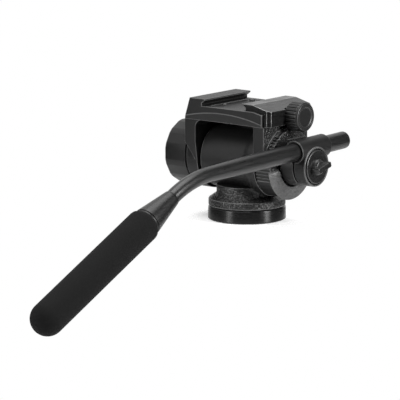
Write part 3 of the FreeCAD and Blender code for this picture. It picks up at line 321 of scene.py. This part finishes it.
# Joins flat facets, rounds every outer corner by rim millimetres and smooths the rest.
# Rounded corners take material 1, faces that the chosen test picks take material 2.
def softEdges(mesh, rim, chosen):
    s = cornerSettings
    shape = bmesh.new()
    shape.from_mesh(mesh)
    bmesh.ops.remove_doubles(shape, verts=shape.verts, dist=s["weld"] * mm)
    bmesh.ops.dissolve_limit(shape, angle_limit=math.radians(s["flat"]), verts=shape.verts, edges=shape.edges)
    for face in shape.faces:
        face.material_index = 2 if chosen and chosen(face) else 0
    corners = []
    for edge in shape.edges:
        angle = edge.calc_face_angle_signed(0) if len(edge.link_faces) == 2 else 0
        long = edge.calc_length() > s["slightLength"] * mm
        if angle > math.radians(s["corner"]) or (long and angle > math.radians(s["slight"])):
            corners.append(edge)
    bmesh.ops.bevel(shape, geom=corners, offset=rim * mm, segments=s["segments"], profile=0.5, affect="EDGES",
                    clamp_overlap=False, material=1)
    bmesh.ops.recalc_face_normals(shape, faces=shape.faces)
    for face in shape.faces:
        face.smooth = True
    shape.to_mesh(mesh)
    shape.free()
    mesh.set_sharp_from_angle(angle=math.radians(s["crease"]))


# A copy of a CAD node's mesh with rounded corners, in the node's place.
def refine(node, rim, chosen=None, chosenFinish=wornHighlightAndCoarseFinishes["coarsePaint"]):
    mesh = frame["nodes"][node].data.copy()
    own = mesh.materials[0]
    mesh.materials.append(own if node in darkRims else rimWearAndHighlight.get(nodeSlot[node], own))
    mesh.materials.append(chosenFinish)
    softEdges(mesh, rim, chosen)
    even = addPiece(node + "_finish", mesh, node).modifiers.new("evenNormals", "WEIGHTED_NORMAL")
    even.keep_sharp = True


darkRims = ("base_disc", "arm_rosette")     # corners that keep their own finish
rims = {                                    # mm of rounding on each visible part's corners
    "base_disc": 0.35, "cradle": 0.45, "jaw": 0.35, "pan_bar_clamp": 0.35, "tilt_knob_cap": 0.3,
    "plate_knob_cap": 0.2, "wing_knob": 0.35, "pan_lock_knob": 0.35, "bar_end_cap": 0.25,
    "arm_rosette": 0.1, "stop_screw": 0.15, "safety_pin": 0.15,
}
armSizes = {"rim": 0.4, "coarseSkin": 7.0, "outward": 0.5}  # mm in from the outer face; least normal.x
housingSizes = {"rim": 0.4, "coarseBelow": 24.0}  # mm above the foot's underside
plateKnobSizes = {"rim": 0.25, "grooves": 0.5, "endOn": 0.3}  # the grooves between the ribs take painted shade
for node, rim in rims.items():
    refine(node, rim)
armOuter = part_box("right_arm")[1].x
refine("right_arm", armSizes["rim"],
       lambda face: (face.normal.x > armSizes["outward"]
                     and face.calc_center_median().x > armOuter - armSizes["coarseSkin"] * mm))
refine("pan_housing", housingSizes["rim"],
       lambda face: face.calc_center_median().z < housingSizes["coarseBelow"] * mm)
plateKnobLow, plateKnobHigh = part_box("plate_knob")


# How far a face's middle is from the plate knob's axis, in metres.
def fromPlateKnobAxis(face):
    middle = face.calc_center_median() - (plateKnobLow + plateKnobHigh) / 2
    return math.hypot(middle.y, middle.z)


ribReach = (plateKnobHigh.z - plateKnobLow.z) / 2
# the faces deep between the ribs are painted near-black: painted shade in the grooves
refine("plate_knob", plateKnobSizes["rim"],
       lambda face: (abs(face.normal.x) < plateKnobSizes["endOn"]
                     and fromPlateKnobAxis(face) < ribReach - plateKnobSizes["grooves"] * mm),
       materials["shade_black_nylon"])
print("castings and knobs finished:", len(rims) + 3)


dialSizes = {                               # mm; the dial's lower face tapers away from the clamp
    "height": 46.5, "face": 42.4, "crest": 45.6, "lip": 42.65, "inner": 17.2, "outer": 27.7,
    "crestDrop": 0.4, "crestRound": 0.5, "lipRound": 0.1,
    "from": 186.0, "to": 352.0, "fade": 6.0, "parts": 64,  # degrees round the tilt axis
    "crease": 30.0,
}


# A C-shaped cast taper on the dial's face, below the bar, in a paint lightened as painted light, its crests
# lighter still as painted highlights.
def makeDialTaper():
    s = dialSizes
    section = [                             # (distance, radius, rubbed finish with painted highlight)
        (s["face"], s["inner"], 0), (s["crest"] - s["crestDrop"], s["inner"], 1),
        (s["crest"], s["inner"] + s["crestRound"], 0), (s["lip"], s["outer"], 1),
        (s["face"], s["outer"] + s["lipRound"], 0),
    ]
    shape = bmesh.new()
    rows = []
    for turn in steps(s["from"], s["to"], s["parts"]):
        fade = min(1.0, (turn - s["from"]) / s["fade"], (s["to"] - turn) / s["fade"])
        y, z = math.cos(math.radians(turn)), math.sin(math.radians(turn))
        rows.append([shape.verts.new(Vector((s["face"] + (out - s["face"]) * fade, radius * y,
                                             s["height"] + radius * z)) * mm)
                     for out, radius, rubbed in section])
    for first, second in zip(rows, rows[1:]):
        for i, (out, radius, rubbed) in enumerate(section):
            j = (i + 1) % len(section)
            face = shape.faces.new((first[i], first[j], second[j], second[i]))
            face.material_index = rubbed
            face.smooth = True
    for row in (rows[0], rows[-1]):
        shape.faces.new(row)
    bmesh.ops.recalc_face_normals(shape, faces=shape.faces)
    mesh = drawnMesh("dialTaper", shape, (wornHighlightAndCoarseFinishes["dialLitPaint"], wornHighlightAndCoarseFinishes["paint"]), s["crease"])
    piece = bpy.data.objects.new("dial_taper", mesh)
    scene.collection.objects.link(piece)
    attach(piece, "tilt_unit")


makeDialTaper()
print("dial taper drawn")


knobSizes = {                               # mm; distances are out along the tilt axis, to the left
    "height": 46.5, "inner": 39.0, "outer": 61.7, "skirtRadius": 23.4, "skirtLength": 2.4, "radius": 24.8,
    "edge": 1.4, "step": 0.3, "flats": 12, "flatDepth": 0.35, "flatParts": 12, "ridgeParts": 4,
    "bore": 8.05, "recessRadius": 17.5, "recessDepth": 1.2, "capRadius": 15.1, "capDepth": 1.6,
    "crease": 30.0,                         # degrees
}


# The tilt knob: twelve shallow flats round a drum, a plain skirt by the arm and a recess for its cap.
def makeTiltKnob():
    s = knobSizes
    span = math.acos(1 - s["flatDepth"] / s["radius"])
    half = s["flatParts"] // 2
    turns = []                              # (angle from a flat's middle, is a flat's border)
    for part in range(-half, half + 1):
        turns.append((span * part / half, abs(part) == half))
    for part in range(1, s["ridgeParts"]):
        turns.append((span + (math.tau / s["flats"] - 2 * span) * part / s["ridgeParts"], False))
    columns = [(angle + math.tau * flat / s["flats"], angle, border)
               for flat in range(s["flats"]) for angle, border in turns]
    recess, seat = s["inner"] + s["recessDepth"], s["outer"] - s["capDepth"]
    skirt = s["inner"] + s["skirtLength"]
    profile = [                             # (distance, radius, follows the flats, rubbed finish with painted highlight)
        (recess, s["bore"], 0, 0), (recess, s["recessRadius"], 0, 0), (s["inner"], s["recessRadius"], 0, 0),
        (s["inner"], s["skirtRadius"] - s["step"], 0, 1), (s["inner"] + s["step"], s["skirtRadius"], 0, 0),
        (skirt, s["skirtRadius"], 0, 0), (skirt, s["radius"] - s["step"], 1, 1),
        (skirt + s["step"], s["radius"], 1, 0),
        (s["outer"] - s["edge"], s["radius"], 1, 1),
        (s["outer"] - 0.6 * s["edge"], s["radius"] - 0.15 * s["edge"], 1, 1),
        (s["outer"] - 0.2 * s["edge"], s["radius"] - 0.5 * s["edge"], 1, 1),
        (s["outer"], s["radius"] - s["edge"], 1, 0), (s["outer"], s["capRadius"], 0, 0),
        (seat, s["capRadius"], 0, 0), (seat, s["bore"], 0, 0),
    ]
    shape = bmesh.new()
    loops = []
    for out, radius, flats, rubbed in profile:
        loop = []
        for turn, angle, border in columns:
            dip = max(0.0, s["radius"] - (s["radius"] - s["flatDepth"]) / math.cos(angle)) if flats else 0.0
            reach = radius - (dip if abs(angle) <= span else 0.0)
            place = Vector((-out, reach * math.cos(turn), s["height"] + reach * math.sin(turn)))
            loop.append(shape.verts.new(place * mm))
        loops.append(loop)
    for row, (first, second) in enumerate(zip(loops, loops[1:] + loops[:1])):
        for i in range(len(columns)):
            face = shape.faces.new((first[i], first[i - 1], second[i - 1], second[i]))
            face.material_index = profile[row][3]
            face.smooth = True
    bmesh.ops.recalc_face_normals(shape, faces=shape.faces)
    borders = {vert for loop, row in zip(loops, profile) if row[2]
               for vert, column in zip(loop, columns) if column[2]}
    for edge in shape.edges:                # a flat's borders stay crisp
        gentle = edge.calc_face_angle(0) < math.radians(s["crease"])
        edge.smooth = gentle and not borders.issuperset(edge.verts)
    mesh = drawnMesh("tiltKnob", shape, (materials["moulded_plastic"], wornHighlightAndCoarseFinishes["nylon"]))
    addPiece("tilt_knob_finish", mesh, "tilt_knob")


makeTiltKnob()
print("tilt knob drawn")


barSizes = {                                # mm and degrees, before the bar's droop
    "tiltHeight": 46.5, "droop": 1.51, "x": 57.0, "height": 12.3,
    "front": 46.0, "straightEnd": 62.0, "corner": 135.9, "bend": 24.4, "bendRadius": 100.0, "tubeEnd": 36.0,
    "radius": 6.6, "thinRadius": 5.6, "edge": 0.5,
    "socketStart": 24.4, "socketLength": 30.5, "socketFoot": 6.0, "socketHead": 10.8,
    "footInset": 0.15, "headInset": 0.6, "headBack": 0.8, "swell": 0.1, "lip": 0.3,
    "ringLength": 1.4, "ringRadius": 10.9, "ringInset": 0.6, "seam": 0.05,
    "gripRadius": 12.35, "gripLength": 130.6, "gripShoulder": 3.0, "gripFlat": 5.0,
    "mouthInset": 0.8, "mouthRound": 0.4, "shoulderInset": 0.25,
    "crease": 40.0,
}
barParts = {                                # how finely each stretch is drawn
    "taper": 8, "bend": 26, "socket": 12, "grip": 24, "dome": 16, "round": 72, "gripRound": 96,
}


# The centre line's point and direction at a distance along it, from the clamp backwards.
def barPoint(along):
    bend = math.radians(barSizes["bend"])
    tangent = barSizes["bendRadius"] * math.tan(bend / 2)
    start = barSizes["corner"] - tangent
    arc = barSizes["bendRadius"] * bend
    if along <= start:
        y, z, turn = -along, 0.0, 0.0
    elif along <= start + arc:
        turn = (along - start) / barSizes["bendRadius"]
        y = -start - barSizes["bendRadius"] * math.sin(turn)
        z = -barSizes["bendRadius"] * (1 - math.cos(turn))
    else:
        turn = bend
        leg = along - start - arc + tangent
        y = -barSizes["corner"] - leg * math.cos(bend)
        z = -leg * math.sin(bend)
    return Vector((barSizes["x"], y, barSizes["height"] + z)), Vector((0, -math.cos(turn), -math.sin(turn)))


# Turns a distance past the bend's corner into one along the centre line.
def legDistance(pastCorner):
    bend = math.radians(barSizes["bend"])
    tangent = barSizes["bendRadius"] * math.tan(bend / 2)
    return barSizes["corner"] - 2 * tangent + barSizes["bendRadius"] * bend + pastCorner


# A round skin through rings of (distance along the bar, radius); radius 0 closes an end.
def sweep(name, rings, sides=barParts["round"]):
    lift = Matrix.Translation((0, 0, barSizes["tiltHeight"]))
    droop = lift @ Matrix.Rotation(math.radians(barSizes["droop"]), 4, "X")
    across = Vector((1, 0, 0))
    shape = bmesh.new()
    loops = []
    for along, radius in rings:
        centre, forward = barPoint(along)
        up = across.cross(forward)
        loops.append([])
        for i in range(sides if radius else 1):
            turn = math.tau * i / sides
            out = math.cos(turn) * across + math.sin(turn) * up
            loops[-1].append(shape.verts.new((droop @ (centre + radius * out)) * mm))
    for first, second in zip(loops, loops[1:]):
        for i in range(sides):
            corners = [first[i % len(first)], first[(i + 1) % len(first)],
                       second[(i + 1) % len(second)], second[i % len(second)]]
            corners = list(dict.fromkeys(corners))
            if len(corners) > 2:
                shape.faces.new(corners)
    bmesh.ops.recalc_face_normals(shape, faces=shape.faces)
    for face in shape.faces:
        face.smooth = True
    return drawnMesh(name, shape, crease=barSizes["crease"])


# The tube narrows slightly from the clamp to the bend.
def makeTube():
    s = barSizes
    bendStart = s["corner"] - s["bendRadius"] * math.tan(math.radians(s["bend"] / 2))
    rings = [(-s["front"], 0), (-s["front"], s["radius"] - s["edge"]), (-s["front"] + s["edge"], s["radius"]),
             (s["straightEnd"], s["radius"])]
    for along in steps(s["straightEnd"], bendStart, barParts["taper"])[1:]:
        part = (along - s["straightEnd"]) / (bendStart - s["straightEnd"])
        rings.append((along, s["radius"] + (s["thinRadius"] - s["radius"]) * part))
    end = legDistance(s["tubeEnd"])
    rings += [(along, s["thinRadius"]) for along in steps(bendStart, end, barParts["bend"])[1:]]
    rings.append((end, 0))
    addPiece("tube_finish", sweep("tube", rings), "pan_bar_tube")


# The socket flares from the tube to the grip, with a ring at its wide end.
def makeSocket():
    s = barSizes
    start = legDistance(s["socketStart"])
    end = legDistance(s["socketStart"] + s["socketLength"])
    flare = (s["socketHead"] - s["socketFoot"] - s["swell"]) / (end - start)
    rings = [(start, s["thinRadius"] + s["seam"]), (start, s["socketFoot"] - s["footInset"]),
             (start + s["lip"], s["socketFoot"] + s["swell"])]
    rings += [(along, s["socketFoot"] + s["swell"] + flare * (along - start))
              for along in steps(start, end - s["headBack"], barParts["socket"])[1:]]
    rings += [(end - s["lip"], s["socketHead"] - s["swell"]), (end, s["socketHead"] - s["headInset"]),
              (end, 0)]
    addPiece("socket_finish", sweep("socket", rings), "bar_socket")
    ringEnd = end + s["ringLength"]
    inner = s["ringRadius"] - s["ringInset"]
    rings = [(end + s["seam"], 0), (end + s["seam"], inner - s["lip"]), (end + s["lip"], inner),
             (ringEnd, inner), (ringEnd, 0)]
    addPiece("ring_finish", sweep("ring", rings), "grip_ring")


# A foam sleeve with a soft shoulder and a domed end.
def makeGrip():
    s = barSizes
    joint = legDistance(s["socketStart"] + s["socketLength"])
    start = joint + s["ringLength"] + 2 * s["seam"]
    end = joint + s["gripLength"] - s["gripRadius"]
    rings = [(start, 0), (start, s["ringRadius"] - s["mouthInset"]),
             (start + s["mouthRound"], s["ringRadius"]),
             (start + s["gripShoulder"] * 0.8, s["gripRadius"] - s["shoulderInset"]),
             (start + s["gripShoulder"] * 1.3, s["gripRadius"])]
    rings += [(along, s["gripRadius"]) for along in steps(start + s["gripFlat"], end, barParts["grip"])]
    for turn in steps(0, math.pi / 2, barParts["dome"])[1:-1]:
        rings.append((end + s["gripRadius"] * math.sin(turn), s["gripRadius"] * math.cos(turn)))
    rings.append((end + s["gripRadius"], 0))
    addPiece("grip_finish", sweep("grip", rings, barParts["gripRound"]), "foam_grip")


makeTube()
makeSocket()
makeGrip()
print("pan bar drawn")


floorSizes = {                              # mm; the card takes the foot's shadow, the floor is deep
    "card": 48.0, "gap": 0.3, "depth": -330.0, "reach": 4000.0, "sides": 96,
    "near": 34.0, "far": 46.0,              # from near to far the paper clears to the white world behind it
    "glow": 0.4, "mirrored": 0.15,          # strengths for the camera and for reflections
    "colour": "#f4f4f4",
    "fibre": 2.0, "fibreHeight": 0.02,      # paper's own fibres are too fine to show
}


# White studio paper: matte, with a glow for the camera and a fainter one for reflections.
def whitePaper():
    material, tree, place = newMaterial("whiteStudioPaper")
    fibres = addNode(tree, "ShaderNodeTexNoise",
                     {"Scale": 1 / (floorSizes["fibre"] * mm), "Detail": 2.0}, {"Vector": place})
    bump = addNode(tree, "ShaderNodeBump",
                   {"Distance": floorSizes["fibreHeight"] * mm, "Strength": 0.3},
                   {"Height": fibres.outputs["Fac"]})
    paper = addNode(tree, "ShaderNodeBsdfDiffuse",
                    {"Color": linear(floorSizes["colour"])}, {"Normal": bump.outputs[0]})
    rays = addNode(tree, "ShaderNodeLightPath")
    seen = addNode(tree, "ShaderNodeMath", {"operation": "MULTIPLY", 1: floorSizes["glow"]},
                   {0: rays.outputs["Is Camera Ray"]})
    mirrored = addNode(tree, "ShaderNodeMath", {"operation": "MULTIPLY_ADD", 1: floorSizes["mirrored"]},
                       {0: rays.outputs["Is Glossy Ray"], 2: seen.outputs[0]})
    glow = addNode(tree, "ShaderNodeEmission", {"Color": (1, 1, 1, 1)}, {"Strength": mirrored.outputs[0]})
    lit = addNode(tree, "ShaderNodeAddShader", links={0: paper.outputs[0], 1: glow.outputs[0]})
    away = addNode(tree, "ShaderNodeVectorMath", {"operation": "LENGTH"}, {"Vector": place})
    fade = addNode(tree, "ShaderNodeMapRange",
                   {"From Min": floorSizes["near"] * mm, "From Max": floorSizes["far"] * mm},
                   {"Value": away.outputs["Value"]})
    clear = addNode(tree, "ShaderNodeMath", {"operation": "MULTIPLY"},
                    {0: rays.outputs["Is Camera Ray"], 1: fade.outputs[0]})
    through = addNode(tree, "ShaderNodeBsdfTransparent")
    finishMaterial(tree, addNode(tree, "ShaderNodeMixShader",
                                 links={0: clear.outputs[0], 1: lit.outputs[0], 2: through.outputs[0]}))
    return material


def addStage(name, shape, material):
    item = bpy.data.objects.new(name, drawnMesh(name, shape, (material,)))
    scene.collection.objects.link(item)
    return item


# A flat round sheet of paper, its radius and height in mm.
def addPaper(name, radius, height, material):
    paper = bmesh.new()
    middle = paper.verts.new(Vector((0, 0, height)) * mm)
    rim = [paper.verts.new(Vector((radius * math.cos(turn), radius * math.sin(turn), height)) * mm)
           for turn in steps(0, math.tau, floorSizes["sides"])[:-1]]
    for first, second in zip(rim, rim[1:] + rim[:1]):
        paper.faces.new((middle, first, second)).smooth = True
    addStage(name, paper, material)


def addFloor():
    paper = whitePaper()
    addPaper("card", floorSizes["card"], -floorSizes["gap"], paper)
    addPaper("floor", floorSizes["reach"], floorSizes["depth"], paper)


flagSizes = {                               # m, and degrees round the set from the right of the object
    "radius": 1.3, "low": -0.33, "high": 0.46, "lowTurns": (169.0, 450.0),
    "roofRadius": 0.75, "roof": 1.35, "roofTurns": (-35.0, 90.0), "parts": 48,
    "colour": "#101010", "pile": 0.0015,    # coarser than real velvet
}


# Black cloth round the set keeps upright faces dark. It is open behind the object and overhead.
def addFlags():
    material, tree, place = newMaterial("blackVelvet")
    pile = addNode(tree, "ShaderNodeTexNoise", {"Scale": 1 / flagSizes["pile"]}, {"Vector": place})
    bump = addNode(tree, "ShaderNodeBump",
                   {"Distance": flagSizes["pile"] / 3}, {"Height": pile.outputs["Fac"]})
    velvet = addNode(tree, "ShaderNodeBsdfDiffuse",
                     {"Color": linear(flagSizes["colour"])}, {"Normal": bump.outputs[0]})
    finishMaterial(tree, velvet)
    low, mid = (flagSizes["radius"], flagSizes["low"]), (flagSizes["radius"], flagSizes["high"])
    top = (flagSizes["roofRadius"], flagSizes["roof"])
    for name, turns, lower, upper in (("flags", "lowTurns", low, mid), ("roof", "roofTurns", mid, top)):
        fromTurn, toTurn = flagSizes[turns]
        cloth = bmesh.new()
        columns = []
        for turn in steps(math.radians(fromTurn), math.radians(toTurn), flagSizes["parts"]):
            columns.append([cloth.verts.new((radius * math.cos(turn), radius * math.sin(turn), height))
                            for radius, height in (lower, upper)])
        for (a, b), (c, d) in zip(columns, columns[1:]):
            cloth.faces.new((a, c, d, b))
        addStage(name, cloth, material).visible_camera = False


def addLamp(name, place, aim, width, height, power):
    lamp = bpy.data.lights.new(name, "AREA")
    lamp.shape = "RECTANGLE"
    lamp.size = width
    lamp.size_y = height
    lamp.energy = power
    holder = bpy.data.objects.new(name, lamp)
    holder.location = place
    holder.rotation_euler = (Vector(aim) - Vector(place)).to_track_quat("-Z", "Y").to_euler()
    holder.visible_camera = False
    scene.collection.objects.link(holder)


cameraSizes = {                             # degrees, m, pixels of a 400 px frame, and mm of sensor
    "azimuth": 38.5, "elevation": 9.8, "distance": 2.5, "focalPixels": 3275.0, "frame": 400.0,
    "target": (0, 0, 0.045), "targetPixel": (247.0, 159.4), "sensor": 36.0, "clip": 20.0,
}


def addCamera():
    turn = math.radians(cameraSizes["azimuth"])
    tilt = math.radians(cameraSizes["elevation"])
    back = Vector((math.sin(turn) * math.cos(tilt), -math.cos(turn) * math.cos(tilt), math.sin(tilt)))
    lens = bpy.data.cameras.new("camera")
    lens.sensor_width = cameraSizes["sensor"]
    lens.lens = cameraSizes["sensor"] * cameraSizes["focalPixels"] / cameraSizes["frame"]
    lens.shift_x = 0.5 - cameraSizes["targetPixel"][0] / cameraSizes["frame"]
    lens.shift_y = cameraSizes["targetPixel"][1] / cameraSizes["frame"] - 0.5
    lens.clip_end = cameraSizes["clip"]
    camera = bpy.data.objects.new("camera", lens)
    camera.location = Vector(cameraSizes["target"]) + back * cameraSizes["distance"]
    camera.rotation_euler = (-back).to_track_quat("-Z", "Y").to_euler()
    scene.collection.objects.link(camera)
    scene.camera = camera


worldSizes = {"ambient": "#c9c9c9", "strength": 0.27}


# White to the camera, to reflections and through glass, a soft grey light for the rest.
def addWorld():
    world = bpy.data.worlds.new("studio")
    world.use_nodes = True
    tree = world.node_tree
    tree.nodes.clear()
    rays = addNode(tree, "ShaderNodeLightPath")
    shown = addNode(tree, "ShaderNodeMath", {"operation": "MAXIMUM"},
                    {0: rays.outputs["Is Camera Ray"], 1: rays.outputs["Is Glossy Ray"]})
    shown = addNode(tree, "ShaderNodeMath", {"operation": "MAXIMUM"},
                    {0: shown.outputs[0], 1: rays.outputs["Is Transmission Ray"]})
    soft = addNode(tree, "ShaderNodeBackground",
                   {"Color": linear(worldSizes["ambient"]), "Strength": worldSizes["strength"]})
    white = addNode(tree, "ShaderNodeBackground", {"Color": (1, 1, 1, 1), "Strength": 1.0})
    mix = addNode(tree, "ShaderNodeMixShader",
                  links={0: shown.outputs[0], 1: soft.outputs[0], 2: white.outputs[0]})
    addNode(tree, "ShaderNodeOutputWorld", links={"Surface": mix.outputs[0]})
    scene.world = world


lamps = {                                   # place and aim in m, width and height in m, power in W
    "topSoftbox": ((0.0, 0.0, 1.1), (0, 0, 0.04), 0.9, 0.9, 10.5),
    "leftStrip": ((-0.33, -1.18, 0.3), (0, 0, 0.03), 0.3, 0.6, 9.0),
    "rightStrip": ((1.19, 0.2, 0.38), (0, 0, 0.04), 0.26, 0.76, 22.0),
}
addCamera()
addFloor()
addFlags()
for name, (place, aim, width, height, power) in lamps.items():
    addLamp(name, place, aim, width, height, power)
addWorld()
scene.view_settings.view_transform = "Standard"
print("stage, lamps and camera set")
